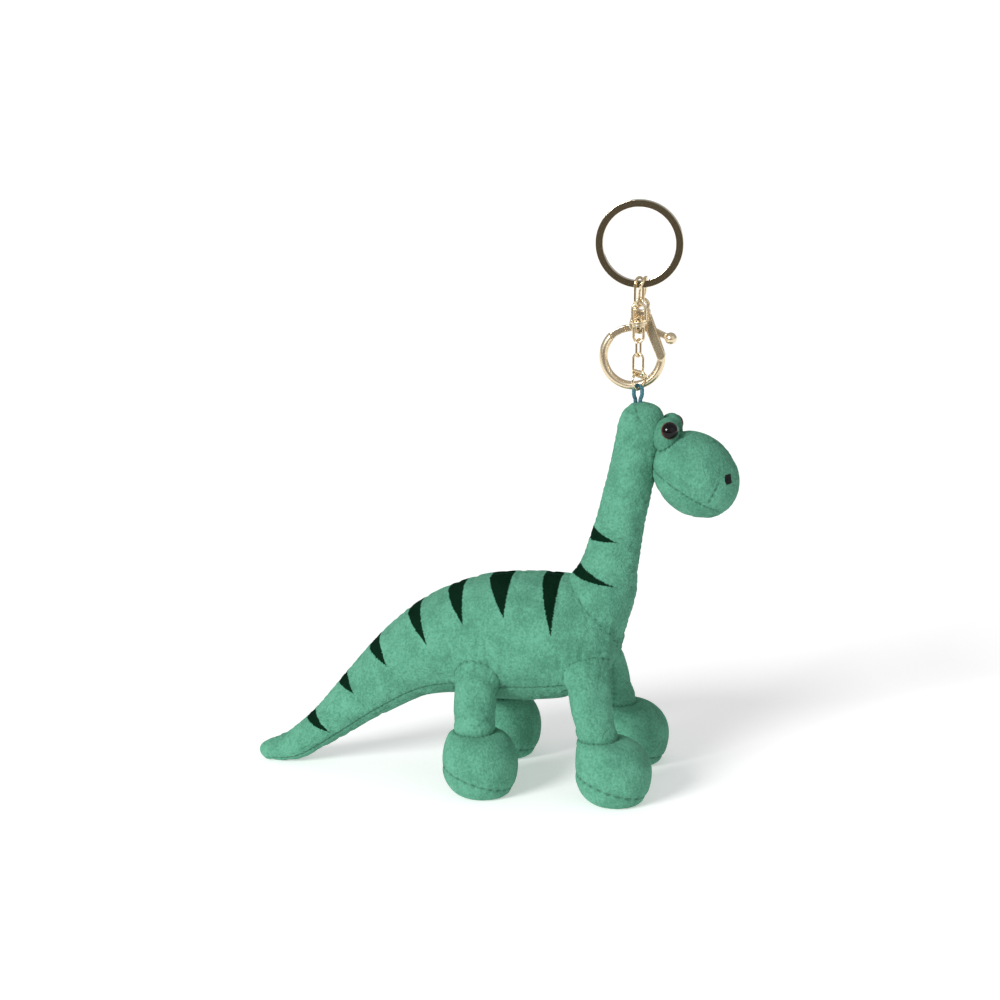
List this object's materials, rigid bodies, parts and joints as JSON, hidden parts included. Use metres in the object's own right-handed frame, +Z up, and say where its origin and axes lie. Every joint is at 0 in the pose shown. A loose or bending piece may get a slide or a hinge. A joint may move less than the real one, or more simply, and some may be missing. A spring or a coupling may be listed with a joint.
{
  "type": "plush keychain",
  "caption": "Plush long-necked dinosaur keychain standing on stuffed feet, with a cord loop, a chain with a swivel, a split ring and a sprung clasp.",
  "frame": {"origin": "centre of the bounding box, on the surface that the four soles stand on", "axes": "+X towards the snout, +Z up from the soles to the split ring, Y = 0 the toy's plane of symmetry"},
  "size_m": [0.1721, 0.0716, 0.2058],
  "materials": {
    "plush": "short pile plush, mint green",
    "dark_plush": "short pile plush, slightly darker green",
    "fibre": "loose white polyester fibre",
    "eye": "black gloss with a brown rim",
    "washer": "white",
    "stitching": "black satin stitch",
    "cord": "braided teal cord",
    "gold": "pale polished gold plating",
    "spring": "drawn spring wire"
  },
  "bodies": {
    "toy": {"right_flank": "plush", "left_flank": "plush", "neck_right": "plush", "neck_left": "plush", "muzzle_upper": "plush", "leg_hind_right": "plush", "leg_hind_left": "plush", "leg_fore_right": "plush", "leg_fore_left": "plush", "foot_hind_right": "plush", "foot_hind_left": "plush", "foot_fore_right": "plush", "foot_fore_left": "plush", "belly_gusset": "dark_plush", "lower_jaw": "dark_plush", "brow_right": "dark_plush", "brow_left": "dark_plush", "sole_hind_right": "dark_plush", "sole_hind_left": "dark_plush", "sole_fore_right": "dark_plush", "sole_fore_left": "dark_plush", "trunk_fill": "fibre", "neck_fill": "fibre", "muzzle_fill": "fibre", "fill_hind_right": "fibre", "fill_hind_left": "fibre", "fill_fore_right": "fibre", "fill_fore_left": "fibre", "eye_right": "eye", "eye_left": "eye", "eye_washer_right": "washer", "eye_washer_left": "washer", "nostril_right": "stitching", "nostril_left": "stitching", "cord_loop": "cord"},
    "jump_ring": {"jump_ring": "gold"},
    "spare_link": {"spare_link": "gold"},
    "lower_link": {"chain_link_lower": "gold"},
    "upper_link": {"chain_link_upper": "gold"},
    "swivel_base": {"swivel_lower": "gold", "swivel_rivet": "gold"},
    "swivel_cage": {"swivel_upper": "gold"},
    "front_link": {"front_ring_link": "gold"},
    "key_ring": {"split_ring": "gold"},
    "rear_link": {"rear_ring_link": "gold"},
    "clasp": {"clasp_body": "gold", "clasp_pin": "gold", "clasp_spring": "spring"},
    "lever": {"clasp_lever": "gold"}
  },
  "joints": [
    {"name": "jump_ring_swing", "type": "hinge", "parent": "toy", "child": "jump_ring", "pos_m": [0.0508, 0, 0.14075], "axis": [0, 1, 0], "range_deg": [-35, 35]},
    {"name": "spare_link_swing", "type": "hinge", "parent": "jump_ring", "child": "spare_link", "pos_m": [0.05011, -0.00131, 0.14668], "axis": [0.4145, 0.7796, 0.4695], "range_deg": [-12, 12]},
    {"name": "lower_link_swing", "type": "hinge", "parent": "jump_ring", "child": "lower_link", "pos_m": [0.0508, 0, 0.1463], "axis": [1, 0, 0], "range_deg": [-5, 30]},
    {"name": "upper_link_swing", "type": "hinge", "parent": "lower_link", "child": "upper_link", "pos_m": [0.0508, 0, 0.1527], "axis": [0, -1, 0], "range_deg": [-25, 25]},
    {"name": "swivel_tilt", "type": "hinge", "parent": "upper_link", "child": "swivel_base", "pos_m": [0.0508, 0, 0.1572], "axis": [1, 0, 0], "range_deg": [-2, 25]},
    {"name": "swivel_spin", "type": "hinge", "parent": "swivel_base", "child": "swivel_cage", "pos_m": [0.0508, 0, 0.1638], "axis": [0, 0, 1], "continuous": true},
    {"name": "front_link_swing", "type": "hinge", "parent": "swivel_cage", "child": "front_link", "pos_m": [0.0508, 0, 0.1696], "axis": [0, 1, 0], "range_deg": [-20, 20]},
    {"name": "split_ring_tilt", "type": "hinge", "parent": "front_link", "child": "key_ring", "pos_m": [0.0508, 0, 0.17705], "axis": [1, 0, 0], "range_deg": [-25, 25]},
    {"name": "rear_link_swing", "type": "hinge", "parent": "front_link", "child": "rear_link", "pos_m": [0.0508, 0, 0.17712], "axis": [1, 0, 0], "range_deg": [0, 30]},
    {"name": "clasp_swing", "type": "hinge", "parent": "rear_link", "child": "clasp", "pos_m": [0.051, 0.00516, 0.17134], "axis": [1, 0, 0], "range_deg": [0, 35]},
    {"name": "gate_swing", "type": "hinge", "parent": "clasp", "child": "lever", "pos_m": [0.0495, 0.00516, 0.16274], "axis": [0, -1, 0], "range_deg": [0, 30], "stiffness_Nm_per_rad": 0.01, "springref_deg": -20.05}
  ]
}
